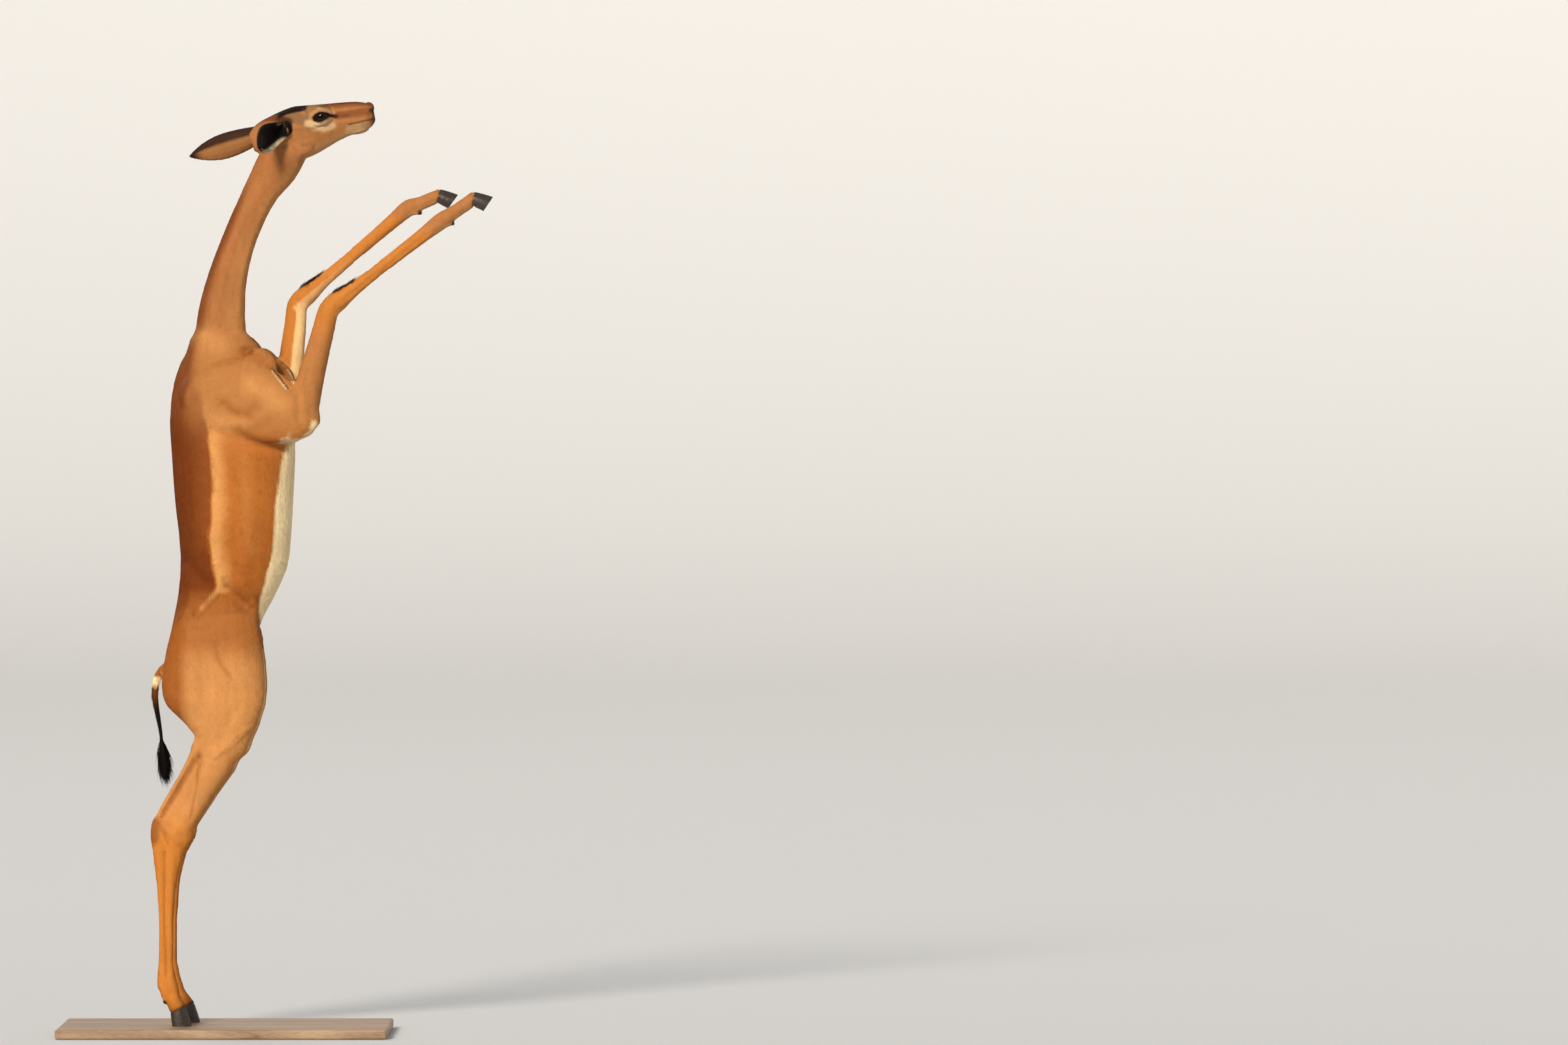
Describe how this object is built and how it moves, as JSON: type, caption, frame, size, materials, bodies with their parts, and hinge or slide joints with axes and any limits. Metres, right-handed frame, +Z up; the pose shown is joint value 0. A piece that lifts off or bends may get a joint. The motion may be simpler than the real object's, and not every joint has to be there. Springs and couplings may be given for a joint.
{
  "type": "gerenuk",
  "caption": "Hornless female gerenuk reared upright on its hind legs to browse, long neck stretched and forelegs raised, on a plain flat board.",
  "frame": {"origin": "centre of the board's underside", "axes": "+Z up the reared animal, +X the way its belly and muzzle face, +Y towards its left side"},
  "size_m": [0.9217, 0.46, 1.9831],
  "materials": {
    "coat": "short dense hair, tan with a darker saddle and white belly",
    "horn": "dark hoof horn, worn satin",
    "eye": "wet and glossy",
    "tuft": "long dark hair",
    "board": "matt sealed"
  },
  "bodies": {
    "root": {"ear_left": "coat", "ear_right": "coat", "eye_left": "eye", "eye_right": "eye", "foreleg_cannon_left": "coat", "foreleg_cannon_right": "coat", "foreleg_forearm_left": "coat", "foreleg_forearm_right": "coat", "foreleg_upper_left": "coat", "foreleg_upper_right": "coat", "head": "coat", "hindleg_cannon_left": "coat", "hindleg_cannon_right": "coat", "hindleg_gaskin_left": "coat", "hindleg_gaskin_right": "coat", "hindleg_thigh_left": "coat", "hindleg_thigh_right": "coat", "hoof_fore_left_inner": "horn", "hoof_fore_left_outer": "horn", "hoof_fore_right_inner": "horn", "hoof_fore_right_outer": "horn", "hoof_hind_left_inner": "horn", "hoof_hind_left_outer": "horn", "hoof_hind_right_inner": "horn", "hoof_hind_right_outer": "horn", "neck": "coat", "stand_board": "board", "tail": "tuft", "torso": "coat"}
  },
  "joints": []
}
